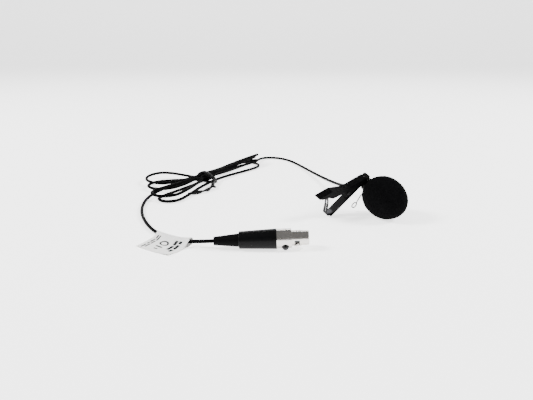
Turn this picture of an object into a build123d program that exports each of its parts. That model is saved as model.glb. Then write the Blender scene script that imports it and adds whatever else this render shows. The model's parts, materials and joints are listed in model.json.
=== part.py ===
"""Lavalier microphone: foam windscreen, electret capsule, spring clip, tied cable and miniature plug.

Everything is in millimetres. The part lies on the plane Z = 0 as it would on a table, +Z up.
The microphone and its clip share one slanted local frame, and the plug has another:

    clip frame   X along the clip's arms from finger end to jaw end, Y from the front arm towards the lever,
                 Z along the microphone's axis from its cable end to its nose
    plug frame   Z along the plug's axis towards its nose, X towards the latch
"""

import os
from math import atan2, cos, degrees, pi, radians, sin, sqrt, tan

from build123d import *

# ---------------------------------------------------------------- placing the two local frames
MIC_HEADING = -56.6  # degrees in plan, the way the microphone's nose points
MIC_PITCH = -16.9  # degrees, nose down
CLIP_ROLL = 44.7  # degrees, how far the clip's arms stand up round the microphone's axis
CLIP_TIP = (-18.2, -0.7, 0.17)  # the finger end of the front arm, at its lower near corner

PLUG_PITCH = 2.3  # degrees, nose up: the tapered boot lies on its side
PLUG_SEAT = (-54.9, -54.8, 5.85)  # the plug's axis where the boot meets the metal ring
LATCH_TURN = -39.0  # degrees from the horizontal, the side of the plug that carries the latch

# ---------------------------------------------------------------- microphone
CAPSULE_AXIS = (32.84, -6.33)  # the microphone's axis in the clip frame
BARREL_R = 3.9
BARREL_WALL = 0.4
BARREL_REAR = -3.0
BARREL_NOSE = 13.4
BARREL_EDGE = 0.25
GRILLE_LENGTH = 1.6
GRILLE_HOLE_R = 0.55
GRILLE_PITCH_R = 2.1
GRILLE_ROUND = 0.6
GRILLE_FACE = 0.6
SKIRT_LENGTH = 1.0
CAP_LENGTH = 2.2
RELIEF_LENGTH = 4.2
RELIEF_ROOT_R = 2.2
RELIEF_TIP_R = 1.75
RELIEF_COLLAR_R = 1.8
CAPSULE_R = 3.0
SKIRT_WALL = 0.35
CAPSULE_LENGTH = 3.2
CAPSULE_WALL = 0.25
SOUND_HOLE_R = 0.9
DIAPHRAGM_THICK = 0.3
BACKPLATE_THICK = 0.9
BOARD_THICK = 0.6
TRANSISTOR = (1.6, 1.2, 0.7)
GASKET_REACH = 0.5
FELT_THICK = 0.4
FELT_R = 3.1

# ---------------------------------------------------------------- foam windscreen
FOAM_R = 13.4
FOAM_HALF = 16.1
FOAM_CENTRE = 14.85
FOAM_REAR = 2.6
FOAM_BORE_R = 4.15
FOAM_BORE_END = 15.6

# ---------------------------------------------------------------- clip
CLIP_WIDTH = 5.5
SHEET = 0.8
ARM_LENGTH = 37.0
ARM_THICK = 1.2
PIVOT = (18.5, 4.4)
PIN_R = 0.8
PIN_FIT = 0.04
PIN_PLAY = 0.05
PIN_HEAD_R = 1.15
PIN_HEAD = 0.35
EAR_GAP = 0.06
EAR_R = 2.1
EAR_FOOT = 6.4
EAR_FOOT_AT = 0.4
ARM_END_ROUND = 0.8
ARM_JAW_ROUND = 1.0
LEVER_BACK = [(34.2, 2.3), (33.0, 2.7), (21.3, 7.6), (17.2, 10.2), (11.1, 16.9), (1.6, 21.0)]
LEVER_FLANGE = [(34.2, ARM_THICK + 0.06), (15.6, ARM_THICK + 1.6), (14.4, 8.4), (8.4, 11.7), (6.4, 15.6)]
LEVER_TIP = (0.9, 2.6)
BACK_SLANT = 0.35
JAW_RELIEF = 3.0
JAW_GAP = 0.05
LEAF_THICK = 0.4
LEAF_WIDTH = 3.7
LEAF_ROUTE = [(3.4, 1.42), (-0.9, 1.42), (-1.3, 4.2), (3.6, 9.6), (7.3, 16.2)]
LEAF_BEND = [0.8, 2.0, 9.0]
LEAF_SLOT = 0.5
LEAF_SLOT_SPAN = (5.0, 12.4)
LEAF_EYE = 1.0
LEAF_EYE_SPAN = (9.8, 12.4)
TEETH_START = 22.6
TOOTH_DEPTH = 0.35
TOOTH_PITCH = 1.6
TOOTH_ROOT = 0.8
TOOTH_WIDTH = 1.2
TEETH = 6
RIVET_AT = 32.8
RIVET_R = 0.9
RIVET_HEAD_R = 1.6
RIVET_HEAD = 0.5
RIVET_FOOT = 0.3
RIVET_POCKET_R = 1.95
RIVET_POCKET = 0.95
WASHER_R = 1.25
WASHER_FIT = 0.02
WASHER_THICK = 0.25
WASHER_PLAY = 0.03

# ---------------------------------------------------------------- spring-wire holder
WIRE_R = 0.35
HOLDER_AT = -CLIP_WIDTH / 2
HOLDER_FIT = 0.03
EYE_R = 1.3
EYE_DROP = 0.02
BRIDGE_REACH = 1.75
BRIDGE_BEND = 0.6
RING_OPENING = 60.0
TAIL_ROUTE = [(25.0, -10.61, -2.75), (19.3, -11.3, -1.5)]
TAIL_BEND = 6.0
TAIL_LOOP_R = 1.95

# ---------------------------------------------------------------- cable
CABLE_R = 1.1
CORE_R = 0.32
LEAD_IN = 3.8
MIC_EXIT_RUN = 3.4
MIC_JACKET_STUB = 0.8
# the two wires in the microphone: half their spacing at each end, where they splay, and their bends
MIC_CORE_START = 0.45
MIC_CORE_END = 1.7
MIC_CORE_SPLAY = (2.5, 5.0)
MIC_CORE_BEND = 0.9

# the cable from the microphone to the hank
MIC_RUN = [
    (0.2, 25.3, 16.4),
    (-2.2, 33.6, 12.4),
    (-3.8, 44.1, 8.9),
    (-6.1, 57.1, 6.6),
    (-10.2, 74.1, 4.6),
    (-16.2, 96.1, 2.9),
    (-24.2, 125.1, 1.5),
    (-30.7, 145.1, 1.1),
    (-37.2, 161.1, 1.1),
    (-44.2, 170.6, 1.1),
    (-52.2, 175.3, 1.2),
    (-60.7, 174.3, 1.5),
    (-66.7, 167.1, 2.0),
    (-70.2, 153.1, 2.8),
]
# the cable from the hank to the plug
PLUG_RUN = [
    (-143.2, 48.1, 2.8),
    (-146.2, 35.1, 1.5),
    (-145.2, 19.6, 1.1),
    (-141.7, 2.6, 1.1),
    (-135.7, -14.4, 1.1),
    (-127.7, -30.4, 1.1),
    (-117.7, -41.4, 1.3),
    (-107.2, -49.9, 2.2),
]
PLUG_EXIT_RUN = 9.0

# the outline in plan of the folded and tied hank, anticlockwise from its plug end
HANK_OUTLINE = [
    (-139.2, 34.1),
    (-129.2, 31.1),
    (-115.2, 41.1),
    (-101.2, 71.1),
    (-85.2, 90.1),
    (-71.2, 103.1),
    (-64.2, 120.1),
    (-63.2, 143.1),
    (-67.2, 166.1),
    (-79.2, 162.1),
    (-99.2, 126.1),
    (-116.2, 104.1),
    (-141.2, 104.1),
    (-161.2, 90.1),
    (-159.2, 64.1),
]
HANK_FLOOR = 0.0
HANK_HEIGHT = 7.5
TIE_AT = (-110.2, 89.1)
TIE_TURN = 140.0
TIE_LENGTH = 24.0
TIE_HEIGHT = 8.6
TIE_WIDTH = 2.6
TIE_THICK = 0.8
TIE_CORNER = 3.0

LABEL_CORNERS = [(-133.2, -52.9), (-113.7, -62.4), (-104.2, -42.9), (-125.7, -29.4)]
LABEL_FLOOR = 0.1
LABEL_THICK = 0.6

# ---------------------------------------------------------------- plug
RING_LENGTH = 8.2
RING_R = 5.45
NOSE_LENGTH = 9.6
NOSE_R = 4.35
LAND_LENGTH = 4.2
LAND_R = 4.1
NOSE_EDGE = 0.3
SHELL_BORE_R = 3.75
SPIGOT_LENGTH = 3.5
SIDE_CUT_FROM = 2.5
BOOT_LENGTH = 20.8
BOOT_FRONT_R = 5.7
BOOT_REAR_R = 4.85
BOOT_BORE_R = 4.6
BOOT_EDGE = 0.3
BOOT_END_WALL = 2.0
FLEX_COLLAR_R = 2.75
FLEX_FLANGE_R = 3.55
FLEX_FLANGE = 1.0
FLEX_LENGTH = 13.9
FLEX_FRONT_R = 3.75
FLEX_REAR_R = 2.4
INSERT_R = 3.7
INSERT_REAR = -2.5
INSERT_FRONT = 16.2
CONTACT_PCD = 4.0
CONTACT_COUNT = 4
CONTACT_R = 0.8
SOCKET_R = 0.6
SOCKET_DEPTH = 5.0
CUP_R = 0.4
CUP_DEPTH = 2.0
CUP_REAR = -5.5
CLAMP_REAR = -17.0
CLAMP_FRONT = -10.5
CLAMP_R = 4.5
CLAMP_FIT = 0.02
CLAMP_SLIT = 0.6
JACKET_FRONT = -9.5
# the plug's cores: start off the axis, straight run, approach to the cup, depth in it, and bends
PLUG_CORE_START = 0.5
PLUG_CORE_RUN = 1.0
CUP_APPROACH = 0.8
CUP_ENTRY = 1.9
PLUG_CORE_BEND = 0.7
LATCH_PIVOT = -1.2
LATCH_IN = 3.1
LATCH_OUT = 3.5
LATCH_WIDTH = 1.8
LATCH_END = 12.2
HOOK_LENGTH = 2.0
HOOK_TOP = 4.75
HOOK_WIDTH = 1.6
HOOK_FLAT = 0.7
HOOK_FOOT = 0.5
WINDOW_FRONT = 12.6
WINDOW_LENGTH = 2.9
WINDOW_SIDES = (-2.8, 1.2)
GROOVE_FLOOR = 2.22
GROOVE_WIDTH = 2.4
GROOVE_END = 13.0
BUTTON_AT = 4.7
BUTTON_R = 1.85
BUTTON_TOP = 7.1
BUTTON_HOLE_R = 2.1
BUTTON_POCKET = 0.6
LATCH_PIN_R = 0.2
LATCH_PIN_AT = 3.2
LATCH_EYE_R = 0.4
LATCH_STRIP_FROM = 0.2
LATCH_PIN_FIT = 0.03


LOW_END = (Align.CENTER, Align.CENTER, Align.MIN)


def mic_axis():
    """Unit vector along the microphone, cable end to nose."""
    heading = radians(MIC_HEADING)
    pitch = radians(MIC_PITCH)
    return Vector(cos(pitch) * cos(heading), cos(pitch) * sin(heading), sin(pitch))


def arm_axis():
    """Unit vector along the clip's arms, finger end to jaw end."""
    heading = radians(MIC_HEADING)
    pitch = radians(MIC_PITCH)
    level = Vector(-sin(heading), cos(heading), 0)
    steep = Vector(-sin(pitch) * cos(heading), -sin(pitch) * sin(heading), cos(pitch))
    roll = radians(CLIP_ROLL)
    return level * cos(roll) + steep * sin(roll)


def clip_plane():
    return Plane(origin=CLIP_TIP, x_dir=arm_axis(), z_dir=mic_axis())


def plug_plane():
    pitch = radians(PLUG_PITCH)
    turn = radians(LATCH_TURN)
    return Plane(origin=PLUG_SEAT, x_dir=(0, -cos(turn), sin(turn)), z_dir=(cos(pitch), 0, sin(pitch)))


def rod(radius, start, end, centre=(0, 0)):
    """A cylinder along local Z."""
    disc = Pos(centre[0], centre[1], start) * Circle(radius)
    return extrude(disc, end - start)


def tube(outer, inner, start, end, centre=(0, 0)):
    return rod(outer, start, end, centre) - rod(inner, start - 1, end + 1, centre)


def taper(radius, end_radius, start, end, centre=(0, 0)):
    """A cone along local Z."""
    height = end - start
    return Pos(centre[0], centre[1], start) * Cone(radius, end_radius, height, align=LOW_END)


def plate(points, low, high):
    """A straight-sided outline in the local XY plane, as thick as from low to high along Z."""
    face = make_face(Polyline(*points, close=True))
    return extrude(Pos(0, 0, low) * face, high - low)


def block(x0, x1, y0, y1, z0, z1):
    corner = (Align.MIN, Align.MIN, Align.MIN)
    return Pos(x0, y0, z0) * Box(x1 - x0, y1 - y0, z1 - z0, align=corner)


def wire(path, radius):
    """A round wire along a path of lines and arcs."""
    ring = Plane(origin=path @ 0, z_dir=path % 0) * Circle(radius)
    return sweep(ring, path=path)


# ---------------------------------------------------------------- microphone pieces
def mic_housing():
    body = tube(BARREL_R, BARREL_R - BARREL_WALL, BARREL_REAR, BARREL_NOSE, CAPSULE_AXIS)
    rear_edges = body.edges().filter_by(GeomType.CIRCLE).group_by(Axis.Z)[0]
    return chamfer(rear_edges.sort_by(SortBy.LENGTH)[-1], BARREL_EDGE)


def mic_grille():
    """The perforated nose cap, with a skirt that fits inside the housing."""
    inner = BARREL_R - BARREL_WALL - SKIRT_WALL
    skirt = tube(BARREL_R - BARREL_WALL, inner, BARREL_NOSE - SKIRT_LENGTH, BARREL_NOSE, CAPSULE_AXIS)
    face = rod(BARREL_R, BARREL_NOSE, BARREL_NOSE + GRILLE_LENGTH, CAPSULE_AXIS)
    face = fillet(face.edges().group_by(Axis.Z)[-1], GRILLE_ROUND)
    face -= rod(inner, BARREL_NOSE - 1, felt_end(), CAPSULE_AXIS)
    holes = [rod(GRILLE_HOLE_R, BARREL_NOSE, BARREL_NOSE + 3, CAPSULE_AXIS)]
    for turn in range(6):
        x = CAPSULE_AXIS[0] + GRILLE_PITCH_R * cos(radians(60 * turn))
        y = CAPSULE_AXIS[1] + GRILLE_PITCH_R * sin(radians(60 * turn))
        holes.append(rod(GRILLE_HOLE_R, BARREL_NOSE, BARREL_NOSE + 3, (x, y)))
    return (face + skirt) - holes


def felt_end():
    return BARREL_NOSE + GRILLE_LENGTH - GRILLE_FACE


def mic_felt():
    """A disc of acoustic felt behind the grille."""
    return rod(FELT_R, felt_end() - FELT_THICK, felt_end(), CAPSULE_AXIS)


def capsule_front():
    return felt_end() - FELT_THICK


def capsule_can():
    """The electret capsule's drawn can, open at the back, with its sound hole."""
    front = capsule_front()
    inside = front - CAPSULE_WALL
    can = tube(CAPSULE_R, CAPSULE_R - CAPSULE_WALL, front - CAPSULE_LENGTH, inside, CAPSULE_AXIS)
    return can + tube(CAPSULE_R, SOUND_HOLE_R, inside, front, CAPSULE_AXIS)


def capsule_diaphragm():
    front = capsule_front() - CAPSULE_WALL
    return rod(CAPSULE_R - CAPSULE_WALL, front - DIAPHRAGM_THICK, front, CAPSULE_AXIS)


def capsule_backplate():
    front = capsule_front() - CAPSULE_WALL - DIAPHRAGM_THICK
    return rod(CAPSULE_R - CAPSULE_WALL, front - BACKPLATE_THICK, front, CAPSULE_AXIS)


def board_rear():
    return capsule_front() - CAPSULE_LENGTH


def capsule_board():
    """The round circuit board that closes the can, with its transistor."""
    rear = board_rear()
    board = rod(CAPSULE_R - CAPSULE_WALL, rear, rear + BOARD_THICK, CAPSULE_AXIS)
    return board + Pos(*CAPSULE_AXIS, rear + BOARD_THICK) * Box(*TRANSISTOR, align=LOW_END)


def capsule_gasket():
    """The rubber sleeve that holds the capsule in the housing."""
    rear = board_rear() - GASKET_REACH
    return tube(BARREL_R - BARREL_WALL, CAPSULE_R, rear, BARREL_NOSE - SKIRT_LENGTH, CAPSULE_AXIS)


def rear_cap():
    plug = rod(BARREL_R - BARREL_WALL, BARREL_REAR, BARREL_REAR + CAP_LENGTH, CAPSULE_AXIS)
    return plug - rod(RELIEF_COLLAR_R, BARREL_REAR - 1, BARREL_REAR + CAP_LENGTH + 1, CAPSULE_AXIS)


def relief_tip():
    return BARREL_REAR - RELIEF_LENGTH


def mic_strain_relief():
    """A tapered rubber sleeve with a collar inside the cap."""
    body = taper(RELIEF_TIP_R, RELIEF_ROOT_R, relief_tip(), BARREL_REAR, CAPSULE_AXIS)
    collar = rod(RELIEF_COLLAR_R, BARREL_REAR, BARREL_REAR + CAP_LENGTH, CAPSULE_AXIS)
    return (body + collar) - rod(CABLE_R, relief_tip() - 1, BARREL_REAR + CAP_LENGTH + 1, CAPSULE_AXIS)


def cable_mic_tail():
    """The cable's jacket inside the strain relief and the cap."""
    return rod(CABLE_R, relief_tip() + LEAD_IN, BARREL_REAR + CAP_LENGTH + MIC_JACKET_STUB, CAPSULE_AXIS)


def mic_conductors():
    """The signal wire and the screen, from the jacket to the board."""
    x, y = CAPSULE_AXIS
    start = BARREL_REAR + CAP_LENGTH + MIC_JACKET_STUB
    wires = []
    for side in (-1, 1):
        path = FilletPolyline(
            (x + side * MIC_CORE_START, y, start),
            (x + side * MIC_CORE_START, y, start + MIC_CORE_SPLAY[0]),
            (x + side * MIC_CORE_END, y, start + MIC_CORE_SPLAY[1]),
            (x + side * MIC_CORE_END, y, board_rear()),
            radius=MIC_CORE_BEND,
        )
        wires.append(wire(path, CORE_R))
    return Compound(children=wires)


def windscreen():
    """The egg-shaped foam ball, flat at the back, with the bore for the microphone."""
    unused_half = Pos(-FOAM_R, 0) * Rectangle(2 * FOAM_R, 2 * FOAM_HALF + 2)
    ball = revolve(Plane.XZ * (Ellipse(FOAM_R, FOAM_HALF) - unused_half), Axis.Z)
    ball = Pos(CAPSULE_AXIS[0], CAPSULE_AXIS[1], FOAM_CENTRE) * ball
    x, y = CAPSULE_AXIS
    wide = 2 * FOAM_R
    ball -= block(x - wide, x + wide, y - wide, y + wide, FOAM_CENTRE - wide, FOAM_REAR)
    return ball - rod(FOAM_BORE_R, FOAM_REAR - 1, FOAM_BORE_END, CAPSULE_AXIS)


# ---------------------------------------------------------------- clip pieces
def pin_hole():
    return rod(PIN_R + PIN_FIT, -CLIP_WIDTH - 1, 1, PIVOT)


def ear(low, high):
    """A lug that rises from the front arm to carry the hinge pin."""
    x, y = PIVOT
    half = EAR_FOOT / 2
    foot = [(x - half, EAR_FOOT_AT), (x + half, EAR_FOOT_AT)]
    lug = plate(foot + [(x + EAR_R, y), (x - EAR_R, y)], low, high)
    return lug + rod(EAR_R, low, high, PIVOT)


def clip_front_arm():
    """The flat front arm: finger end, two ears for the pin, and a toothed jaw end."""
    arm = block(0, ARM_LENGTH, 0, ARM_THICK, -CLIP_WIDTH, 0)
    corners = arm.edges().filter_by(Axis.Y)
    arm = fillet(corners.group_by(Axis.X)[0], ARM_END_ROUND)
    arm = fillet(arm.edges().filter_by(Axis.Y).group_by(Axis.X)[-1], ARM_JAW_ROUND)
    inset = SHEET + EAR_GAP
    arm += ear(-inset - SHEET, -inset)
    arm += ear(-CLIP_WIDTH + inset, -CLIP_WIDTH + inset + SHEET)
    arm -= pin_hole()
    arm -= rod_across(RIVET_R, RIVET_AT)
    for tooth in range(TEETH):
        x = TEETH_START + tooth * TOOTH_PITCH
        open_y = ARM_THICK + 0.1
        notch = [(x, open_y), (x + TOOTH_ROOT, ARM_THICK - TOOTH_DEPTH), (x + TOOTH_WIDTH, open_y)]
        arm -= plate(notch, -CLIP_WIDTH - 1, 1)
    return arm


def rod_across(radius, x, low=-2.0, high=ARM_THICK + 1):
    """A cylinder along local Y at the middle of the clip's width."""
    ring = Plane(origin=(x, low, HOLDER_AT), x_dir=(1, 0, 0), z_dir=(0, 1, 0)) * Circle(radius)
    return extrude(ring, high - low)


def offset_back(drop):
    """The lever's back, moved down towards the front arm."""
    return [(x - BACK_SLANT * drop, y - drop) for x, y in LEVER_BACK]


def clip_lever():
    """The bent channel: a back, two side flanges with the pin's holes, and a flared finger end."""
    tip_x, tip_y = LEVER_BACK[-1]
    outer = LEVER_BACK + [(tip_x + LEVER_TIP[0], tip_y - LEVER_TIP[1])]
    inner = list(reversed(LEVER_FLANGE))
    side = plate(outer + inner, -SHEET, 0)
    far = Pos(0, 0, SHEET - CLIP_WIDTH) * side
    back = plate(LEVER_BACK + list(reversed(offset_back(SHEET))), -CLIP_WIDTH, 0)
    lever = side + far + back
    lever += rod(EAR_R, -SHEET, 0, PIVOT) + rod(EAR_R, -CLIP_WIDTH, -CLIP_WIDTH + SHEET, PIVOT)
    lever -= pin_hole()
    lever -= block(RIVET_AT - JAW_RELIEF, ARM_LENGTH, 0, ARM_THICK + JAW_GAP, -CLIP_WIDTH, 0)
    return lever - rod_across(RIVET_POCKET_R, RIVET_AT, ARM_THICK - 0.1, ARM_THICK + RIVET_POCKET)


def clip_hinge_pin():
    """The hinge pin, with a flat head outside each flange."""
    low = -CLIP_WIDTH - PIN_PLAY
    pin = rod(PIN_R, low, PIN_PLAY, PIVOT)
    pin += rod(PIN_HEAD_R, PIN_PLAY, PIN_PLAY + PIN_HEAD, PIVOT)
    return pin + rod(PIN_HEAD_R, low - PIN_HEAD, low, PIVOT)


def clip_leaf_spring():
    """The slotted leaf spring that pushes the finger ends apart."""
    path = FilletPolyline(*LEAF_ROUTE, radius=LEAF_BEND)
    across = Plane(origin=path @ 0, z_dir=path % 0) * Rectangle(LEAF_THICK, LEAF_WIDTH)
    leaf = sweep(across, path=path)
    leaf = Pos(0, 0, HOLDER_AT) * leaf
    for width, (low, high) in ((LEAF_SLOT, LEAF_SLOT_SPAN), (LEAF_EYE, LEAF_EYE_SPAN)):
        leaf -= block(-ARM_LENGTH, ARM_LENGTH, low, high, HOLDER_AT - width / 2, HOLDER_AT + width / 2)
    return leaf


def eye_underside():
    return -EYE_DROP - 2 * WIRE_R


def holder_rivet():
    """The rivet that joins the front arm to the holder's eye."""
    foot_top = eye_underside() - 2 * WASHER_PLAY - WASHER_THICK
    shank = rod_across(RIVET_R, RIVET_AT, foot_top, ARM_THICK)
    head = rod_across(RIVET_HEAD_R, RIVET_AT, ARM_THICK, ARM_THICK + RIVET_HEAD)
    return shank + head + rod_across(WASHER_R, RIVET_AT, foot_top - RIVET_FOOT, foot_top)


def rivet_washer():
    low = eye_underside() - WASHER_PLAY - WASHER_THICK
    disc = rod_across(WASHER_R, RIVET_AT, low, low + WASHER_THICK)
    return disc - rod_across(RIVET_R + WASHER_FIT, RIVET_AT)


def holder_wire():
    """One spring wire: an open ring round the housing, an eye under the rivet, a tail with a loop."""
    x, y = CAPSULE_AXIS
    ring_r = BARREL_R + HOLDER_FIT + WIRE_R
    ring_plane = Plane(origin=(x, y, HOLDER_AT))
    hoop = ring_plane * CenterArc((0, 0), ring_r, -90 - RING_OPENING, RING_OPENING - 360)
    tail = FilletPolyline(hoop @ 1, *TAIL_ROUTE, radius=TAIL_BEND)
    ring_and_tail = wire(hoop + tail, WIRE_R)
    eye_y = -EYE_DROP - WIRE_R
    eye_plane = Plane(origin=(RIVET_AT, eye_y, HOLDER_AT), x_dir=(1, 0, 0), z_dir=(0, 1, 0))
    eye = eye_plane * Torus(EYE_R, WIRE_R)
    bridge_x = RIVET_AT + EYE_R
    bridge_y = y + sqrt(ring_r**2 - (bridge_x - x) ** 2)
    bridge = FilletPolyline(
        (bridge_x, eye_y, HOLDER_AT),
        (bridge_x, eye_y, HOLDER_AT + BRIDGE_REACH),
        (bridge_x, bridge_y, HOLDER_AT + BRIDGE_REACH),
        (bridge_x, bridge_y, HOLDER_AT),
        radius=BRIDGE_BEND,
    )
    end = TAIL_ROUTE[-1]
    loop = Pos(end[0] - TAIL_LOOP_R, end[1], end[2]) * Torus(TAIL_LOOP_R, WIRE_R)
    return ring_and_tail + eye + wire(bridge, WIRE_R) + loop


# ---------------------------------------------------------------- cable
def bend_radii(points):
    """The largest tangent arc at each corner that its two runs allow."""
    radii = []
    for before, corner, after in zip(points, points[1:], points[2:]):
        run_in = Vector(*corner) - Vector(*before)
        run_out = Vector(*after) - Vector(*corner)
        half_turn = radians(run_in.get_angle(run_out)) / 2
        radii.append(0.45 * min(run_in.length, run_out.length) / tan(half_turn))
    return radii


def cable(points, name):
    """A tube along straight runs joined by tangent arcs; prints its bends and compares its volume."""
    radii = bend_radii(points)
    path = FilletPolyline(*points, radius=radii)
    jacket = wire(path, CABLE_R)
    expected = pi * CABLE_R**2 * path.length
    print(name, "length", round(path.length, 1), "volume ratio", round(jacket.volume / expected, 4))
    print(name, "radii", [round(r, 1) for r in radii], "lowest", round(jacket.bounding_box().min.Z, 3))
    return jacket


def cable_exit_points():
    """Two points on the microphone's axis: inside the strain relief, and just outside it."""
    x, y = CAPSULE_AXIS
    inside = clip_plane().from_local_coords(Vector(x, y, relief_tip() + LEAD_IN))
    outside = clip_plane().from_local_coords(Vector(x, y, relief_tip() - MIC_EXIT_RUN))
    return [tuple(inside), tuple(outside)]


def plug_exit_points():
    """Two points on the plug's axis: just outside the flexible relief, and inside it."""
    rear = -BOOT_LENGTH - FLEX_LENGTH
    outside = plug_plane().from_local_coords(Vector(0, 0, rear - PLUG_EXIT_RUN + LEAD_IN))
    inside = plug_plane().from_local_coords(Vector(0, 0, rear + LEAD_IN))
    return [tuple(outside), tuple(inside)]


def cable_mic_run():
    return cable(cable_exit_points() + MIC_RUN, "cable_mic_run")


def cable_plug_run():
    return cable(PLUG_RUN + plug_exit_points(), "cable_plug_run")


def cable_hank():
    """The outer shape of the folded and tied cable."""
    outline = make_face(Spline(*HANK_OUTLINE, periodic=True))
    return extrude(Pos(0, 0, HANK_FLOOR) * outline, HANK_HEIGHT)


def cable_tie():
    """The twist tie round the hank's waist: a flat band, closed under and over the bundle."""
    place = Pos(TIE_AT[0], TIE_AT[1], TIE_HEIGHT / 2) * Rot(0, 0, TIE_TURN)
    outer = Box(TIE_LENGTH, TIE_WIDTH, TIE_HEIGHT)
    outer = fillet(outer.edges().filter_by(Axis.Y), TIE_CORNER)
    inner = Box(TIE_LENGTH - 2 * TIE_THICK, TIE_WIDTH + 1, TIE_HEIGHT - 2 * TIE_THICK)
    inner = fillet(inner.edges().filter_by(Axis.Y), TIE_CORNER - TIE_THICK)
    return place * (outer - inner)


def cable_label():
    """The paper label folded round the cable, its two leaves lying together on the table."""
    return plate(LABEL_CORNERS, LABEL_FLOOR, LABEL_FLOOR + LABEL_THICK)


# ---------------------------------------------------------------- plug pieces
def radial_hole(radius, at, low, high):
    """A cylinder that stands on the plug's axis, towards the latch."""
    ring = Plane(origin=(low, 0, at), x_dir=(0, 1, 0), z_dir=(1, 0, 0)) * Circle(radius)
    return extrude(ring, high - low)


def plug_shell():
    """The one-piece metal ring and nose, with the button's hole and the latch window."""
    nose_end = RING_LENGTH + NOSE_LENGTH
    shell = rod(RING_R, 0, RING_LENGTH) + rod(NOSE_R, RING_LENGTH, nose_end - LAND_LENGTH)
    shell += rod(LAND_R, nose_end - LAND_LENGTH, nose_end)
    shell += rod(BOOT_BORE_R, -SPIGOT_LENGTH, 0)
    shell = chamfer(shell.edges().group_by(Axis.Z)[-1], NOSE_EDGE)
    shell -= rod(SHELL_BORE_R, -5, nose_end + 1)
    shell -= radial_hole(BUTTON_HOLE_R, BUTTON_AT, SIDE_CUT_FROM, RING_R + 1)
    rear = WINDOW_FRONT - WINDOW_LENGTH
    return shell - block(SIDE_CUT_FROM, NOSE_R + 1, *WINDOW_SIDES, rear, WINDOW_FRONT)


def plug_boot():
    """The black plastic handle, tapered towards the cable and hollow inside."""
    body = taper(BOOT_REAR_R, BOOT_FRONT_R, -BOOT_LENGTH, 0)
    body = chamfer(body.edges().group_by(Axis.Z)[0], BOOT_EDGE)
    body -= rod(BOOT_BORE_R, -BOOT_LENGTH + BOOT_END_WALL, 1)
    return body - rod(FLEX_COLLAR_R, -BOOT_LENGTH - 1, 1)


def plug_flex_relief():
    """The ringed flexible sleeve behind the boot, with a collar inside it."""
    rear = -BOOT_LENGTH - FLEX_LENGTH
    inside = -BOOT_LENGTH + BOOT_END_WALL
    body = taper(FLEX_REAR_R, FLEX_FRONT_R, rear, -BOOT_LENGTH)
    body += rod(FLEX_COLLAR_R, -BOOT_LENGTH, inside)
    body += rod(FLEX_FLANGE_R, inside, inside + FLEX_FLANGE)
    return body - rod(CABLE_R, rear - 1, 0)


def contact_places():
    """The contacts' centres, clear of the latch's groove."""
    radius = CONTACT_PCD / 2
    turns = [45 + 360 * i / CONTACT_COUNT for i in range(CONTACT_COUNT)]
    return [(radius * cos(radians(t)), radius * sin(radians(t))) for t in turns]


def plug_insert():
    """The insulating insert, with room for the latch and its button, and bored for the contacts."""
    body = rod(INSERT_R, INSERT_REAR, INSERT_FRONT)
    half = GROOVE_WIDTH / 2
    body -= block(GROOVE_FLOOR, INSERT_R + 1, -half, half, INSERT_REAR - 1, GROOVE_END)
    body -= radial_hole(BUTTON_HOLE_R, BUTTON_AT, LATCH_OUT - BUTTON_POCKET, INSERT_R + 1)
    body -= latch_pin_solid()
    for centre in contact_places():
        body -= rod(CONTACT_R, INSERT_REAR - 1, INSERT_FRONT + 1, centre)
    return body


def plug_contacts():
    """Four machined socket contacts with solder cups."""
    pieces = []
    for centre in contact_places():
        pin = rod(CONTACT_R, CUP_REAR, INSERT_FRONT, centre)
        pin -= rod(SOCKET_R, INSERT_FRONT - SOCKET_DEPTH, INSERT_FRONT + 1, centre)
        pin -= rod(CUP_R, CUP_REAR - 1, CUP_REAR + CUP_DEPTH, centre)
        pieces.append(pin)
    return Compound(children=pieces)


def latch_pin_solid():
    bar = Cylinder(LATCH_PIN_R, GROOVE_WIDTH + 0.5)
    return Pos(LATCH_PIN_AT, 0, LATCH_PIVOT) * (Rot(90, 0, 0) * bar)


def plug_latch_pin():
    return latch_pin_solid()


def plug_latch():
    """The latch lever: a strip with an eye at its pivot and a hook that stands in the shell's window."""
    half = LATCH_WIDTH / 2
    strip = block(LATCH_IN, LATCH_OUT, -half, half, LATCH_PIVOT + LATCH_STRIP_FROM, LATCH_END)
    eye = Pos(LATCH_PIN_AT, 0, LATCH_PIVOT) * (Rot(90, 0, 0) * Cylinder(LATCH_EYE_R, LATCH_WIDTH))
    low = LATCH_END - HOOK_LENGTH
    side = [(LATCH_OUT, low), (HOOK_TOP, low), (HOOK_TOP, low + HOOK_FLAT)]
    side += [(LATCH_OUT + HOOK_FOOT, LATCH_END), (LATCH_OUT, LATCH_END)]
    face = Plane.XZ * make_face(Polyline(*side, close=True))
    hook = Pos(0, HOOK_WIDTH / 2, 0) * extrude(face, HOOK_WIDTH)
    hole = Pos(LATCH_PIN_AT, 0, LATCH_PIVOT) * (Rot(90, 0, 0) * Cylinder(LATCH_PIN_R + LATCH_PIN_FIT, 4))
    return strip + eye + hook - hole


def plug_latch_button():
    """The domed release button that stands on the latch."""
    stem = radial_hole(BUTTON_R, BUTTON_AT, LATCH_OUT, BUTTON_TOP)
    return fillet(stem.edges().group_by(Axis.X)[-1], BUTTON_R * 0.8)


def plug_cable_clamp():
    """The split collet that grips the jacket inside the boot."""
    body = rod(CLAMP_R, CLAMP_REAR, CLAMP_FRONT) - rod(CABLE_R + CLAMP_FIT, CLAMP_REAR - 1, 1)
    half = CLAMP_SLIT / 2
    return body - block(-half, half, 0, CLAMP_R + 1, CLAMP_REAR - 1, CLAMP_FRONT + 1)


def cable_plug_tail():
    """The cable's jacket inside the plug."""
    return rod(CABLE_R, -BOOT_LENGTH - FLEX_LENGTH + LEAD_IN, JACKET_FRONT)


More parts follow.
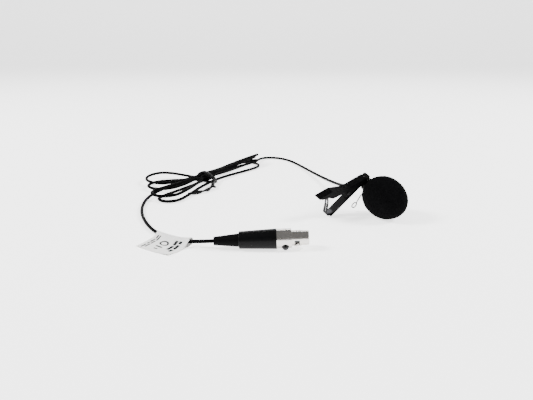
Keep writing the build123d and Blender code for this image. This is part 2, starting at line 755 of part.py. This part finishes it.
def plug_conductors():
    """Two cores that fan out from the jacket to the solder cups."""
    wires = []
    for centre in contact_places()[::2]:
        aim = degrees(atan2(centre[1], centre[0]))
        start = (PLUG_CORE_START * cos(radians(aim)), PLUG_CORE_START * sin(radians(aim)))
        path = FilletPolyline(
            (*start, JACKET_FRONT),
            (*start, JACKET_FRONT + PLUG_CORE_RUN),
            (*centre, CUP_REAR - CUP_APPROACH),
            (*centre, CUP_REAR + CUP_ENTRY),
            radius=PLUG_CORE_BEND,
        )
        wires.append(wire(path, CORE_R))
    return Compound(children=wires)


CLIP_PIECES = [
    mic_housing,
    mic_grille,
    mic_felt,
    capsule_can,
    capsule_diaphragm,
    capsule_backplate,
    capsule_board,
    capsule_gasket,
    rear_cap,
    mic_strain_relief,
    cable_mic_tail,
    mic_conductors,
    windscreen,
    clip_front_arm,
    clip_lever,
    clip_hinge_pin,
    clip_leaf_spring,
    holder_rivet,
    rivet_washer,
    holder_wire,
]
TABLE_PIECES = [cable_mic_run, cable_hank, cable_plug_run, cable_tie, cable_label]
PLUG_PIECES = [
    plug_shell,
    plug_boot,
    plug_flex_relief,
    plug_insert,
    plug_contacts,
    plug_latch,
    plug_latch_button,
    plug_latch_pin,
    plug_cable_clamp,
    cable_plug_tail,
    plug_conductors,
]


def main():
    os.makedirs("parts", exist_ok=True)
    for pieces, plane in ((CLIP_PIECES, clip_plane()), (PLUG_PIECES, plug_plane()), (TABLE_PIECES, Plane.XY)):
        for piece in pieces:
            shape = plane.location * piece()
            export_step(shape, f"parts/{piece.__name__}.step")


main()
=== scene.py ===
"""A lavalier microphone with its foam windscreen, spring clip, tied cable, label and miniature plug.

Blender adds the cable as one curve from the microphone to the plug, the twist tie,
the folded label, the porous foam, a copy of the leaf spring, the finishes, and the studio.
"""

import json
import math

import bpy
from mathutils import Matrix, Vector, noise


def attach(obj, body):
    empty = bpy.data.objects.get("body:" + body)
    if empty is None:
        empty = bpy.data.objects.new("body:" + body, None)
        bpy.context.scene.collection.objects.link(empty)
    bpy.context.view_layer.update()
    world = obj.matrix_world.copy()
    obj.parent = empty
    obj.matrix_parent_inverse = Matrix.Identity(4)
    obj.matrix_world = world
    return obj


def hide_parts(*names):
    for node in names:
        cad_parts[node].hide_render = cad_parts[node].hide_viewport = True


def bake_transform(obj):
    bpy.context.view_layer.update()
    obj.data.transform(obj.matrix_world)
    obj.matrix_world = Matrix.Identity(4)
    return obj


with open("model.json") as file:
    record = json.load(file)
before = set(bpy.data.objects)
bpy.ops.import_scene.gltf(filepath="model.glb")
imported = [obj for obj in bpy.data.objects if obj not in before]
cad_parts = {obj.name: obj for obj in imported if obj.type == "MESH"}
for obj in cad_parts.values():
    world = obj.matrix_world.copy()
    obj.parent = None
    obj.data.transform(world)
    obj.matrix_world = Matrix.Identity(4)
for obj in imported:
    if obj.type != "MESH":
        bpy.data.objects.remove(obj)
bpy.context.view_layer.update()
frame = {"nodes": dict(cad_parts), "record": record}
NODES = frame["nodes"]
MM = 0.001

# ---------------------------------------------------------------- the two local frames, in millimetres
# the clip's frame: X along its arms, Y from the front arm to the lever, Z along the microphone to its nose
MIC_HEADING, MIC_PITCH, CLIP_ROLL = -56.6, -16.9, 44.7
CLIP_TIP = Vector((-18.2, -0.7, 0.17))
CAPSULE_AXIS = (32.84, -6.33)
RELIEF_TIP = -7.2
MIC_EXIT_RUN = 3.4
LEAD_IN = 3.8
# the plug's frame: Z along its axis to its nose, X towards its latch
PLUG_SEAT, PLUG_PITCH = Vector((-54.9, -54.8, 5.85)), 2.3
PLUG_REAR = -34.7
PLUG_EXIT_RUN = 9.0

# ---------------------------------------------------------------- the cable's route, in millimetres
CABLE_R = 1.1
MIC_RUN = [
    (0.2, 25.3, 16.4),
    (-2.2, 33.6, 12.4),
    (-3.8, 44.1, 8.9),
    (-6.1, 57.1, 6.6),
    (-10.2, 74.1, 4.6),
    (-16.2, 96.1, 2.9),
    (-24.2, 125.1, 1.5),
    (-30.7, 145.1, 1.1),
    (-37.2, 161.1, 1.1),
    (-44.2, 170.6, 1.1),
    (-52.2, 175.3, 1.2),
    (-60.7, 174.3, 1.5),
    (-66.7, 167.1, 2.0),
    (-70.2, 153.1, 2.8),
    (-78.0, 138.0, 3.6),
    (-91.0, 116.0, 3.2),
]
PLUG_RUN = [
    (-122.5, 75.0, 4.6),
    (-134.0, 60.5, 4.2),
    (-143.2, 48.1, 2.8),
    (-147.0, 35.1, 1.5),
    (-146.5, 19.6, 1.1),
    (-143.0, 2.6, 1.1),
    (-136.6, -14.4, 1.1),
    (-128.0, -30.4, 1.1),
    (-117.7, -41.4, 1.3),
    (-107.2, -49.9, 2.2),
]
# The hank is tied in its middle and folded at both ends. A turn is a fold to the left and one to the right, each
# with its tip, the widths of the side that goes out and of the side that comes back, its height and its tilt.
TIE_AT = Vector((-109.8, 87.4, 0.0))
BUNDLE_TURN = 236.0
TURNS = [
    (((-157.0, 81.5), 14, 15, 4.6, -0.05), ((-73.0, 158.5), 8, 8, 6.6, -0.4)),
    (((-151.0, 63.0), 11, 12, 2.8, 0.0), ((-73.0, 153.0), 8, 7, 3.6, -0.2)),
    (((-138.5, 34.0), 11, 10, 4.2, 0.0), ((-75.5, 156.0), 8, 8, 5.0, -0.4)),
    (((-133.5, 29.5), 8, 8, 1.6, 0.0), ((-69.5, 150.0), 8, 19, 1.4, 0.0)),
]
# where each pass of the cable lies under the tie: across the bundle, and its height
LANES = [
    (4.8, 2.4),
    (7.8, 4.4),
    (-5.0, 2.4),
    (5.2, 6.4),
    (-2.6, 4.7),
    (2.4, 4.6),
    (0.0, 2.4),
    (-7.4, 2.4),
    (1.6, 7.4),
]
FOLD_ARC = (75, 25, -25, -75)


# ---------------------------------------------------------------- frames and meshes
def clip_axes():
    heading, pitch, roll = (math.radians(a) for a in (MIC_HEADING, MIC_PITCH, CLIP_ROLL))
    level = Vector((-math.sin(heading), math.cos(heading), 0))
    steep = Vector((-math.sin(pitch) * math.cos(heading), -math.sin(pitch) * math.sin(heading), math.cos(pitch)))
    along = Vector((math.cos(pitch) * math.cos(heading), math.cos(pitch) * math.sin(heading), math.sin(pitch)))
    arms = level * math.cos(roll) + steep * math.sin(roll)
    return arms, along.cross(arms), along


ARMS, AWAY, ALONG = clip_axes()
PLUG_AXIS = Vector((math.cos(math.radians(PLUG_PITCH)), 0, math.sin(math.radians(PLUG_PITCH))))


def in_clip(x, y, z):
    """A point of the clip's frame, in the row frame's metres."""
    return (CLIP_TIP + ARMS * x + AWAY * y + ALONG * z) * MM


def on_plug(z):
    """A point on the plug's axis, in the row frame's metres."""
    return (PLUG_SEAT + PLUG_AXIS * z) * MM


def new_mesh(name, points, faces, smooth=True):
    mesh = bpy.data.meshes.new(name)
    mesh.from_pydata([tuple(p) for p in points], [], faces)
    mesh.update()
    for face in mesh.polygons:
        face.use_smooth = smooth
    obj = bpy.data.objects.new(name, mesh)
    bpy.context.scene.collection.objects.link(obj)
    return obj


def bridge(rings, closed=True, caps=True):
    """Faces between rings of points, each a list of the same length."""
    count = len(rings[0])
    faces = []
    steps = count if closed else count - 1
    for r in range(len(rings) - 1):
        for i in range(steps):
            j = (i + 1) % count
            faces.append((r * count + i, r * count + j, (r + 1) * count + j, (r + 1) * count + i))
    if caps and closed:
        faces.append(tuple(reversed(range(count))))
        faces.append(tuple((len(rings) - 1) * count + i for i in range(count)))
    return [p for ring in rings for p in ring], faces


def line_of(points, order=3, resolution=12):
    """The points of a NURBS spline with these control points, ends included."""
    curve = nurbs("line", points, order)
    curve.resolution_u = resolution
    obj = bpy.data.objects.new("line", curve)
    mesh = bpy.data.meshes.new_from_object(obj)
    line = [v.co.copy() for v in mesh.vertices]
    bpy.data.meshes.remove(mesh)
    bpy.data.objects.remove(obj)
    bpy.data.curves.remove(curve)
    return line


def nurbs(name, points, order=3):
    curve = bpy.data.curves.new(name, "CURVE")
    curve.dimensions = "3D"
    spline = curve.splines.new("NURBS")
    spline.points.add(len(points) - 1)
    for point, place in zip(spline.points, points):
        point.co = (*place, 1)
    spline.order_u = order
    spline.use_endpoint_u = True
    return curve


def ribbon(name, points, width, thick, side, twist=0.0):
    """A flat, round-edged band swept along points, its width starting along side, twisted by that many turns."""
    line = line_of(points)
    rings = []
    for i, point in enumerate(line):
        ahead = (line[min(i + 1, len(line) - 1)] - line[max(i - 1, 0)]).normalized()
        side = (side - ahead * side.dot(ahead)).normalized()
        turn = Matrix.Rotation(2 * math.pi * twist * i / (len(line) - 1), 3, ahead)
        across, up = turn @ side, turn @ ahead.cross(side)
        ring = []
        for k in range(12):
            a = 2 * math.pi * k / 12
            flat = math.copysign(abs(math.cos(a)) ** 0.6, math.cos(a))
            tall = math.copysign(abs(math.sin(a)) ** 0.8, math.sin(a))
            ring.append(point + across * flat * width / 2 + up * tall * thick / 2)
        rings.append(ring)
    return new_mesh(name, *bridge(rings))


# ---------------------------------------------------------------- finishes
def finish_node(name, colour, rough, metal=0.0, **sockets):
    material = bpy.data.materials.new(name)
    material.use_nodes = True
    shader = material.node_tree.nodes["Principled BSDF"]
    shader.inputs["Base Color"].default_value = (*colour, 1)
    shader.inputs["Roughness"].default_value = rough
    shader.inputs["Metallic"].default_value = metal
    for socket, value in sockets.items():
        shader.inputs[socket.replace("_", " ")].default_value = value
    return material, shader


def vary(material, shader, scale, low, high, socket="Roughness", stretch=(1, 1, 1), detail=3.0):
    """Noise that moves a socket between two values, or two colours, over the surface."""
    tree = material.node_tree
    place = tree.nodes.new("ShaderNodeTexCoord")
    mapping = tree.nodes.new("ShaderNodeMapping")
    mapping.inputs["Scale"].default_value = stretch
    cloud = tree.nodes.new("ShaderNodeTexNoise")
    cloud.inputs["Scale"].default_value = scale
    cloud.inputs["Detail"].default_value = detail
    tree.links.new(place.outputs["Object"], mapping.inputs["Vector"])
    tree.links.new(mapping.outputs["Vector"], cloud.inputs["Vector"])
    if isinstance(low, tuple):
        ramp = tree.nodes.new("ShaderNodeValToRGB")
        ramp.color_ramp.elements[0].position = 0.35
        ramp.color_ramp.elements[1].position = 0.65
        ramp.color_ramp.elements[0].color = (*low, 1)
        ramp.color_ramp.elements[1].color = (*high, 1)
        tree.links.new(cloud.outputs["Fac"], ramp.inputs["Fac"])
        tree.links.new(ramp.outputs["Color"], shader.inputs[socket])
    else:
        span = tree.nodes.new("ShaderNodeMapRange")
        span.inputs["To Min"].default_value = low
        span.inputs["To Max"].default_value = high
        tree.links.new(cloud.outputs["Fac"], span.inputs["Value"])
        tree.links.new(span.outputs["Result"], shader.inputs[socket])
    return cloud


def grain(material, shader, scale, strength, depth, kind="ShaderNodeTexNoise", output="Fac"):
    """A fine relief in the shading, depth in metres."""
    tree = material.node_tree
    place = tree.nodes.new("ShaderNodeTexCoord")
    texture = tree.nodes.new(kind)
    texture.inputs["Scale"].default_value = scale
    bump = tree.nodes.new("ShaderNodeBump")
    bump.inputs["Strength"].default_value = strength
    bump.inputs["Distance"].default_value = depth
    tree.links.new(place.outputs["Object"], texture.inputs["Vector"])
    tree.links.new(texture.outputs[output], bump.inputs["Height"])
    tree.links.new(bump.outputs["Normal"], shader.inputs["Normal"])


def foam_finish():
    material, shader = finish_node("foam", (0.003, 0.003, 0.0032), 0.95, Specular_IOR_Level=0.01)
    vary(material, shader, 2400, (0.0008, 0.0008, 0.0009), (0.004, 0.004, 0.0043), "Base Color")
    grain(material, shader, 2600, 0.9, 0.00025, "ShaderNodeTexVoronoi", "Distance")
    return material


def painted(name, colour, rough, relief=0.00002, **sockets):
    material, shader = finish_node(name, colour, rough, **sockets)
    vary(material, shader, 900, rough * 0.85, rough * 1.2)
    grain(material, shader, 5000, 0.35, relief)
    return material


def metal(name, colour, rough, stretch=(1, 1, 1), scale=2500, spread=0.25):
    material, shader = finish_node(name, colour, rough, 1.0)
    vary(material, shader, scale, rough * (1 - spread), rough * (1 + spread), stretch=stretch)
    return material


def paper_finish():
    material, shader = finish_node("paper", (0.9, 0.89, 0.87), 0.75, Specular_IOR_Level=0.3)
    vary(material, shader, 700, (0.86, 0.85, 0.83), (0.93, 0.92, 0.91), "Base Color")
    grain(material, shader, 6000, 0.3, 0.00001)
    return material


def circuit_board():
    material, shader = finish_node("board", (0.02, 0.11, 0.05), 0.45)
    vary(material, shader, 1200, (0.015, 0.09, 0.04), (0.03, 0.14, 0.06), "Base Color")
    return material


def finishes():
    return {
        "foam": foam_finish(),
        "black_metal": painted("black_metal", (0.0016, 0.0016, 0.0018), 0.34, Specular_IOR_Level=0.03),
        "dark_steel": metal("dark_steel", (0.014, 0.014, 0.015), 0.33),
        "steel": metal("steel", (0.56, 0.55, 0.54), 0.24),
        "nickel": metal("nickel", (0.6, 0.575, 0.545), 0.24, stretch=(0.08, 1, 1), scale=3500),
        "aluminium": metal("aluminium", (0.75, 0.75, 0.76), 0.3),
        "brass": metal("brass", (0.78, 0.58, 0.27), 0.25),
        "black_plastic": painted("black_plastic", (0.0016, 0.0016, 0.0018), 0.36, Specular_IOR_Level=0.08),
        "gloss_black": painted("gloss_black", (0.001, 0.001, 0.0011), 0.08, 0.000004, Specular_IOR_Level=0.25),
        "black_rubber": painted("black_rubber", (0.0018, 0.0018, 0.002), 0.5, 0.00003, Specular_IOR_Level=0.025),
        "cable_black": painted("cable_black", (0.0014, 0.0014, 0.0016), 0.4, 0.000015, Specular_IOR_Level=0.012),
        "insulator": painted("insulator", (0.03, 0.03, 0.032), 0.55),
        "board": circuit_board(),
        "film": painted("film", (0.5, 0.5, 0.48), 0.2),
        "felt": painted("felt", (0.05, 0.05, 0.052), 0.95, 0.00008),
        "paper": paper_finish(),
        "core": painted("core", (0.35, 0.03, 0.02), 0.45),
    }


SLOT_OF = {part["node"]: part["material_slot"] for part in frame["record"]["subparts"]}
FINISH = finishes()
INK = painted("ink", (0.012, 0.012, 0.014), 0.7, Specular_IOR_Level=0.1)


def wear(obj, finish):
    obj.data.materials.clear()
    obj.data.materials.append(finish)


# ---------------------------------------------------------------- camera
def add_camera():
    """The photograph's view: 110 mm above the table, 17 degrees down, from 0.32 m in front of the clip."""
    camera = bpy.data.objects.new("camera", bpy.data.cameras.new("camera"))
    bpy.context.scene.collection.objects.link(camera)
    camera.data.sensor_width = 36.0
    camera.data.lens = 34.92
    camera.data.clip_start = 0.01
    camera.data.clip_end = 20
    camera.location = (-0.06043, -0.32149, 0.1097)
    camera.rotation_euler = (math.radians(73), 0, 0)
    bpy.context.scene.camera = camera


# ---------------------------------------------------------------- the cord
def lane(k):
    across, height = LANES[k]
    turn = math.radians(BUNDLE_TURN)
    far_side = Vector((math.sin(turn), -math.cos(turn), 0))
    return TIE_AT + far_side * across + Vector((0, 0, height))


def fold(start, finish, tip, side_out, side_back, height, tilt):
    """The points of one fold of the hank, from the tie out to its tip and back again, on a teardrop."""
    root = (start + finish) / 2
    way = Vector((tip[0] - root.x, tip[1] - root.y, 0))
    reach = way.length
    way.normalize()
    right = Vector((way.y, -way.x, 0))
    radius, middle = (side_out + side_back) / 2, (side_out - side_back) / 2
    neck = reach - radius
    shape = [(0.35 * neck, 0.5 * side_out), (0.8 * neck, 0.95 * side_out)]
    for angle in FOLD_ARC:
        a = math.radians(angle)
        shape.append((neck + 1.1 * radius * math.cos(a), middle + 1.1 * radius * math.sin(a)))
    shape += [(0.8 * neck, -0.95 * side_back), (0.35 * neck, -0.5 * side_back)]
    points = []
    for along, across in shape:
        rise = min(1, along / (0.6 * reach))
        base = start.z if across > 0 else finish.z
        level = base + (height - base - tilt * across) * rise
        place = Vector((root.x, root.y, 0)) + way * along + right * across
        points.append(Vector((place.x, place.y, max(CABLE_R, level))))
    return points


def hank():
    """The turns between the last point of the microphone's run and the first of the plug's."""
    points = [lane(0)]
    for turn, (left, right) in enumerate(TURNS):
        a, b, c = lane(2 * turn), lane(2 * turn + 1), lane(2 * turn + 2)
        points += fold(a, b, *left) + [b] + fold(b, c, *right) + [c]
    return points


def cord_points():
    x, y = CAPSULE_AXIS
    start = [in_clip(x, y, RELIEF_TIP + LEAD_IN), in_clip(x, y, RELIEF_TIP - MIC_EXIT_RUN)]
    middle = [Vector(p) * MM for p in MIC_RUN + hank() + PLUG_RUN]
    return start + middle + [on_plug(PLUG_REAR - PLUG_EXIT_RUN + LEAD_IN), on_plug(PLUG_REAR + LEAD_IN)]


def add_cord():
    curve = nurbs("cable", cord_points())
    curve.bevel_depth = CABLE_R * MM
    curve.bevel_resolution = 5
    curve.resolution_u = 10
    cable = bpy.data.objects.new("cable", curve)
    bpy.context.scene.collection.objects.link(cable)
    wear(cable, FINISH["cable_black"])
    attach(cable, "root")
    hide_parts("cable_mic_run", "cable_hank", "cable_plug_run")
    return cable


# ---------------------------------------------------------------- the twist tie
TIE_BAND = (4.0, 1.4)
TAIL_SHARE = 0.72
# the loop's section across the bundle: from the knot at the near side, over it, and back under it
TIE_LOOP = [
    (-9.4, 2.4),
    (-8.6, 4.6),
    (-4.4, 6.4),
    (-0.8, 8.1),
    (2.6, 8.7),
    (6.2, 7.0),
    (8.6, 4.4),
    (8.6, 0.8),
    (0.0, 0.8),
    (-9.2, 0.8),
    (-10.4, 3.2),
]


def add_tie():
    """A plastic-covered wire tie: a loop round the bundle, a twisted knot at its near side, and a long tail."""
    turn = math.radians(BUNDLE_TURN)
    bundle = Vector((math.cos(turn), math.sin(turn), 0))
    far = Vector((math.sin(turn), -math.cos(turn), 0))
    route = [(TIE_AT + far * a + Vector((0, 0, z))) * MM for a, z in TIE_LOOP]
    pieces = [ribbon("tie_loop", route, TIE_BAND[0] * MM, TIE_BAND[1] * MM, bundle)]
    knot = TIE_AT + far * TIE_LOOP[0][0]
    tail = [(knot.x, knot.y, 3.2), (-102.8, 75.0, 2.6), (-102.6, 68.0, 1.8), (-104.2, 60.6, 1.6)]
    tail += [(-107.8, 55.0, 1.6), (-113.0, 50.6, 1.6), (-118.6, 48.0, 1.7)]
    end = [(knot.x + 0.8, knot.y - 0.4, 1.6), (-103.6, 76.0, 1.5), (-102.0, 69.5, 2.6), (-100.6, 63.8, 2.4)]
    for name, points, twist in (("tie_tail", tail, 1.5), ("tie_end", end, 1.0)):
        points = [Vector(p) * MM for p in points]
        width = TIE_BAND[0] * TAIL_SHARE
        pieces.append(ribbon(name, points, width * MM, TIE_BAND[1] * MM, bundle.cross(Vector((0, 0, 1))), twist))
    for piece in pieces:
        wear(piece, FINISH["black_plastic"])
        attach(piece, "root")
    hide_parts("cable_tie")
    return pieces


# ---------------------------------------------------------------- the label
LABEL_ENDS = (Vector((-125.9, -33.2, 1.3)), Vector((-103.8, -52.3, 2.7)))
LABEL_FREE = (Vector((-133.2, -52.9, 0)), Vector((-112.9, -66.8, 0)))
LABEL_WRAP_R = 1.28
LABEL_STEPS = 24


def label_cable():
    """The stretch of the cable's line that the label is folded round, in millimetres."""
    line = [p / MM for p in line_of(cord_points())]
    ends = [min(range(len(line)), key=lambda i, e=e: (line[i] - e).length) for e in LABEL_ENDS]
    return line[min(ends) : max(ends) + 1]


def label_line(share):
    """The cable's place and the far end of the label at a share of its width."""
    at = share * (len(LABEL_CABLE) - 1)
    i = min(int(at), len(LABEL_CABLE) - 2)
    return LABEL_CABLE[i].lerp(LABEL_CABLE[i + 1], at - i), LABEL_FREE[0].lerp(LABEL_FREE[1], share)


def label_profile(length, share, height):
    """The folded sheet in section, as (distance from the cable, height): lower leaf, round the cable, upper leaf."""
    curl = 1.9 * max(0.0, 1 - share * 1.7) ** 2 + 4.0 * share**3
    radius = LABEL_WRAP_R + share
    centre = max(height, radius + 0.08)
    points = []
    for i in range(LABEL_STEPS):
        away = length * (1 - i / LABEL_STEPS)
        under = (centre - radius - 0.07) * (1 - min(1.0, away / 6)) ** 2
        points.append((max(away, 0.9), 0.07 + under + 0.55 * curl * max(0.0, away / length - 0.45) ** 2))
    for k in range(13):
        a = math.radians(-90 - 15 * k)
        points.append((radius * math.cos(a), centre + radius * math.sin(a)))
    for i in range(1, LABEL_STEPS + 1):
        u = i / LABEL_STEPS
        away = length * u
        slope = (centre + radius - 0.28) * (1 - min(1.0, away / (5.5 + 4 * share))) ** 2
        points.append((away, 0.28 + slope + curl * max(0.0, u - 0.45) ** 2))
    return points


def label_point(share, index_share, lift=0.0):
    """A point of the label's surface: share along the cable, index_share along the folded sheet."""
    near, far = label_line(share)
    flat = Vector((far.x - near.x, far.y - near.y, 0))
    length = flat.length
    flat.normalize()
    profile = label_profile(length, share, near.z)
    at = index_share * (len(profile) - 1)
    i = min(int(at), len(profile) - 2)
    d = profile[i][0] + (profile[i + 1][0] - profile[i][0]) * (at - i)
    z = profile[i][1] + (profile[i + 1][1] - profile[i][1]) * (at - i)
    return Vector((near.x + flat.x * d, near.y + flat.y * d, z + lift)) * MM


def upper(share, away_share):
    """The same, on the upper leaf, from the cable (0) to its free edge (1)."""
    total = 2 * LABEL_STEPS + 12
    return share, (LABEL_STEPS + 12 + away_share * LABEL_STEPS) / total


def add_label():
    rings = []
    for i in range(41):
        rings.append([label_point(i / 40, j / 120) for j in range(121)])
    points, faces = bridge(rings, closed=False)
    label = new_mesh("label", points, faces)
    thick = label.modifiers.new("paper", "SOLIDIFY")
    thick.thickness = 0.00009
    thick.offset = 0
    wear(label, FINISH["paper"])
    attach(label, "root")
    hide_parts("cable_label")
    return label


def printed(name, marks):
    """Ink strips just above the label's upper leaf; a mark is (share from, share to, away from, away to)."""
    points, faces = [], []
    for s0, s1, a0, a1 in marks:
        wide, long = 3, 10
        first = len(points)
        for i in range(long + 1):
            for j in range(wide + 1):
                place = upper(s0 + (s1 - s0) * j / wide, a0 + (a1 - a0) * i / long)
                points.append(label_point(*place, lift=0.075))
        for i in range(long):
            for j in range(wide):
                k = first + i * (wide + 1) + j
                faces.append((k, k + 1, k + wide + 2, k + wide + 1))
    return points, faces


def ring_mark(share, away, size, width):
    """A plain closed ring, the generic mark in the middle of the label."""
    points, faces = [], []
    steps = 28
    for i in range(steps + 1):
        a = 2 * math.pi * i / steps
        for r in (size, size - width):
            place = upper(share + r * math.cos(a), away + r * math.sin(a))
            points.append(label_point(*place, lift=0.075))
        if i:
            k = len(points) - 4
            faces.append((k, k + 1, k + 3, k + 2))
    return points, faces


def add_print():
    """Generic printing: two thin lines of dashes, a ring with two bars, and two bolder lines."""
    marks = []
    for share, dashes in ((0.09, (0.1, 0.24, 0.27, 0.5, 0.53, 0.66, 0.7, 0.93)), (0.16, (0.1, 0.33, 0.37, 0.58, 0.62, 0.85))):
        marks += [(share, share + 0.042, a, b) for a, b in zip(dashes[::2], dashes[1::2])]
    for share, dashes in ((0.68, (0.12, 0.3, 0.34, 0.62)), (0.79, (0.12, 0.22, 0.26, 0.5, 0.54, 0.72))):
        marks += [(share, share + 0.08, a, b) for a, b in zip(dashes[::2], dashes[1::2])]
    marks += [(0.36, 0.55, 0.56, 0.63), (0.4, 0.51, 0.735, 0.785)]
    points, faces = printed("marks", marks)
    more, extra = ring_mark(0.45, 0.34, 0.13, 0.05)
    faces += [tuple(k + len(points) for k in face) for face in extra]
    points += more
    ink = new_mesh("label_print", points, faces)
    wear(ink, INK)
    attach(ink, "root")
    return ink


# ---------------------------------------------------------------- the windscreen
FOAM_R, FOAM_HALF, FOAM_CENTRE, FOAM_REAR = 13.4, 16.1, 14.85, 2.6
FOAM_BORE_R, FOAM_BORE_END = 4.15, 15.6
FOAM_ROUND = 1.1
FOAM_SIDES = 260
FOAM_RELIEF = 0.11


def foam_profile():
    """(radius, height) from the bore's end, out over the flat back, round the egg to its nose."""
    points = [(FOAM_BORE_R * i / 4, FOAM_BORE_END) for i in range(1, 4)]
    points += [(FOAM_BORE_R, FOAM_BORE_END - (FOAM_BORE_END - FOAM_REAR - 0.5) * i / 16) for i in range(17)]
    points += [(FOAM_BORE_R + 0.15, FOAM_REAR + 0.15), (FOAM_BORE_R + 0.5, FOAM_REAR)]
    edge = math.acos((FOAM_CENTRE - FOAM_REAR) / FOAM_HALF)
    rim = FOAM_R * math.sin(edge)
    points += [(FOAM_BORE_R + 0.5 + (rim - FOAM_ROUND - FOAM_BORE_R - 0.5) * i / 9, FOAM_REAR) for i in range(1, 10)]
    points += [(rim - FOAM_ROUND * 0.4, FOAM_REAR + 0.14), (rim + 0.15, FOAM_REAR + 0.6)]
    start = edge + 0.085
    steps = 130
    for i in range(steps):
        a = start + (math.pi - start) * i / steps
        points.append((FOAM_R * math.sin(a), FOAM_CENTRE - FOAM_HALF * math.cos(a)))
    return points


def add_foam():
    """The open-cell foam, with its cells in the surface and a slight unevenness from handling."""
    profile = foam_profile()
    x, y = CAPSULE_AXIS
    points, faces = [], []
    for radius, height in profile:
        for k in range(FOAM_SIDES):
            a = 2 * math.pi * k / FOAM_SIDES
            points.append(Vector((x + radius * math.cos(a), y + radius * math.sin(a), height)))
    centre = Vector((x, y, FOAM_CENTRE))
    shaped = []
    for p in points:
        out = (p - centre).normalized()
        cells = noise.noise(p * 1.9) + 0.8 * noise.noise(p * 3.7 + Vector((7, 3, 5)))
        soft = 0.16 * noise.noise(p * 0.16)
        inside = math.hypot(p.x - x, p.y - y) < FOAM_BORE_R + 0.2 and p.z < FOAM_BORE_END + 0.1
        depth = 0.0 if inside else -FOAM_RELIEF * (0.6 + cells) + soft
        q = p + out * depth
        shaped.append(in_clip(q.x, q.y, q.z))
    for r in range(len(profile) - 1):
        for k in range(FOAM_SIDES):
            j = (k + 1) % FOAM_SIDES
            faces.append((r * FOAM_SIDES + k, r * FOAM_SIDES + j, (r + 1) * FOAM_SIDES + j, (r + 1) * FOAM_SIDES + k))
    bore_end, nose = len(shaped), len(shaped) + 1
    shaped.append(in_clip(x, y, FOAM_BORE_END))
    shaped.append(in_clip(x, y, FOAM_CENTRE + FOAM_HALF - FOAM_RELIEF * 0.6))
    last = (len(profile) - 1) * FOAM_SIDES
    for k in range(FOAM_SIDES):
        j = (k + 1) % FOAM_SIDES
        faces.append((j, k, bore_end))
        faces.append((last + k, last + j, nose))
    foam = new_mesh("foam_windscreen", shaped, faces)
    wear(foam, FINISH["foam"])
    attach(foam, "foam")
    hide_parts("windscreen")
    return foam


# ---------------------------------------------------------------- the leaf spring
def add_leaf():
    """The real leaf spring bends as the lever is pressed; this is a fixed copy of the CAD one, with its finish, in
    place of the CAD part.
    """
    leaf = bpy.data.objects.new("leaf_spring", NODES["clip_leaf_spring"].data.copy())
    bpy.context.scene.collection.objects.link(leaf)
    wear(leaf, FINISH[SLOT_OF["clip_leaf_spring"]])
    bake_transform(leaf)
    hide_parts("clip_leaf_spring")


# ---------------------------------------------------------------- the CAD parts' finishes
SOFT_EDGES = {
    "plug_shell": 0.12,
    "plug_boot": 0.25,
    "plug_flex_relief": 0.2,
    "plug_latch": 0.06,
    "clip_front_arm": 0.12,
    "clip_lever": 0.1,
    "clip_hinge_pin": 0.08,
    "holder_rivet": 0.1,
    "rear_cap": 0.08,
    "mic_strain_relief": 0.15,
}


def dress_cad():
    for name, node in NODES.items():
        wear(node, FINISH[SLOT_OF[name]])
        if name in SOFT_EDGES:
            bevel = node.modifiers.new("edge", "BEVEL")
            bevel.width = SOFT_EDGES[name] * MM
            bevel.segments = 2
            bevel.limit_method = "ANGLE"
            bevel.angle_limit = math.radians(40)
            bevel.harden_normals = True


# ---------------------------------------------------------------- studio
def add_floor():
    """A white sweep: flat under the microphone, turning up far behind it."""
    rows = [(-12, 0), (3, 0), (3.6, 0.06), (4.0, 0.3), (4.2, 1.0)]
    rings = [[(x, y, z) for x in (-12, 12)] for y, z in rows]
    floor = new_mesh("floor", *bridge(rings, closed=False), True)
    material, shader = finish_node("floor", (0.93, 0.93, 0.93), 0.9, Specular_IOR_Level=0.1)
    shader.inputs["Emission Color"].default_value = (1, 1, 1, 1)
    shader.inputs["Emission Strength"].default_value = 2.0
    wear(floor, material)


def add_light(name, place, aim, size, power):
    lamp = bpy.data.lights.new(name, "AREA")
    lamp.shape = "RECTANGLE"
    lamp.size, lamp.size_y = size
    lamp.energy = power
    light = bpy.data.objects.new(name, lamp)
    bpy.context.scene.collection.objects.link(light)
    light.location = place
    light.rotation_euler = (Vector(aim) - Vector(place)).to_track_quat("-Z", "Y").to_euler()


def add_studio():
    add_floor()
    world = bpy.data.worlds.new("studio")
    world.use_nodes = True
    world.node_tree.nodes["Background"].inputs["Color"].default_value = (1, 1, 1, 1)
    world.node_tree.nodes["Background"].inputs["Strength"].default_value = 0.22
    bpy.context.scene.world = world
    middle = (-0.06, 0.04, 0.0)
    # the plug lies along X, so lamps far to its sides light the paper but aren't mirrored in the metal
    add_light("key", (-1.3, -0.1, 1.1), middle, (0.45, 0.45), 48)
    add_light("fill", (1.2, 0.0, 1.0), middle, (0.45, 0.45), 42)
    add_light("back", (0.0, 1.2, 0.9), middle, (0.7, 0.2), 5)



add_camera()
CABLE = add_cord()
TIE = add_tie()
LABEL_CABLE = label_cable()
LABEL = add_label()
PRINT = add_print()
ON_CORD = TIE + [LABEL, PRINT]
ON_CORD += [NODES[n] for n in sorted(NODES) if n.startswith("plug_") or n == "cable_plug_tail"]
FOAM = add_foam()
add_leaf()
dress_cad()
add_studio()
